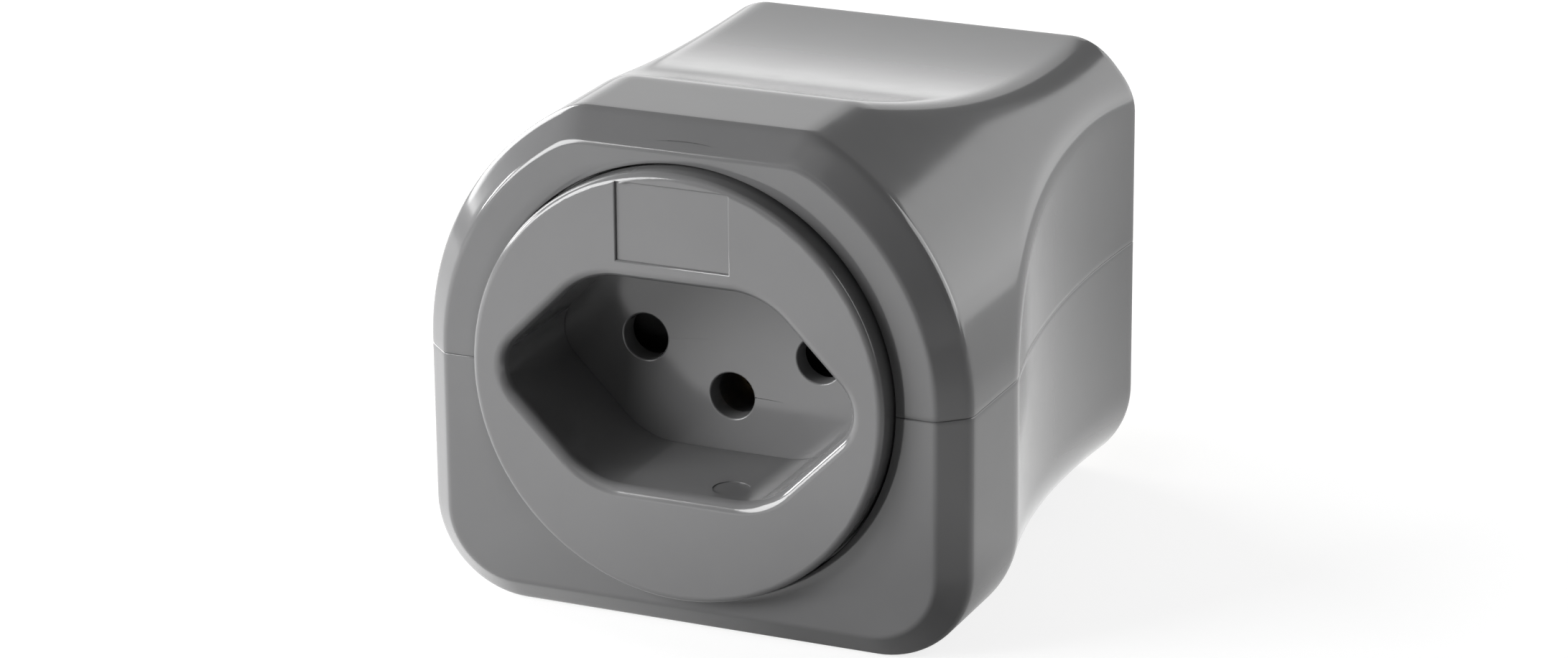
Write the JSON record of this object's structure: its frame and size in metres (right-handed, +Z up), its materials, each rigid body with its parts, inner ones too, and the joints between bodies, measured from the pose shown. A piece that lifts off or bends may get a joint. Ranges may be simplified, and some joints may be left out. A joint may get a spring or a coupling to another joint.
{
  "type": "travel adapter",
  "caption": "Travel adapter with a recessed six-sided round-pin socket in front, finger scoops on three sides and a fused plug with flat pins behind.",
  "frame": {"origin": "middle of the bounding box, on the flat base that the adapter lies on in the picture", "axes": "+Z up as it lies on its base, the socket faces -Y, the plug pins point to +Y, +X is to the right when looking into the socket"},
  "size_m": [0.0586, 0.0858, 0.053],
  "materials": {
    "housing": "moulded, glossy",
    "insert": "moulded, glossy",
    "inner": "moulded, matt",
    "shutter": "moulded, matt",
    "brass": "bare",
    "clip": "tinned",
    "pin": "machined",
    "steel": "zinc plated",
    "ceramic": "fired ceramic",
    "cap": "plated",
    "sleeve": "moulded, matt"
  },
  "bodies": {
    "housing": {"upper_housing": "housing", "lower_housing": "housing", "socket_insert": "insert", "socket_floor": "insert", "housing_screws": "steel", "shutter_spring": "steel", "contact_block": "inner", "block_screws": "steel", "line_contact": "brass", "neutral_contact": "brass", "earth_contact": "brass", "line_contact_ring": "steel", "neutral_contact_ring": "steel", "earth_contact_ring": "steel", "contact_cover": "inner", "cover_screws": "steel", "load_strip": "brass", "neutral_strip": "brass", "earth_strip": "brass", "supply_strip": "brass", "load_fuse_clip": "clip", "supply_fuse_clip": "clip", "clip_rivets": "brass", "plug_base": "housing", "line_pin": "pin", "neutral_pin": "pin", "earth_pin": "pin", "line_pin_sleeve": "sleeve", "neutral_pin_sleeve": "sleeve", "terminal_screws": "steel"},
    "shutter": {"shutter": "shutter"},
    "fuse_carrier": {"fuse_carrier": "housing", "fuse_tube": "ceramic", "fuse_caps": "cap"}
  },
  "joints": [
    {"name": "shutter_slide", "type": "slide", "parent": "housing", "child": "shutter", "axis": [0, 0, 1], "range_m": [0, 0.0052], "stiffness_N_per_m": 80, "springref_m": -0.005, "deforming": ["shutter_spring"]},
    {"name": "fuse_carrier_slide", "type": "slide", "parent": "housing", "child": "fuse_carrier", "axis": [0, 1, 0], "range_m": [0, 0.012]}
  ]
}
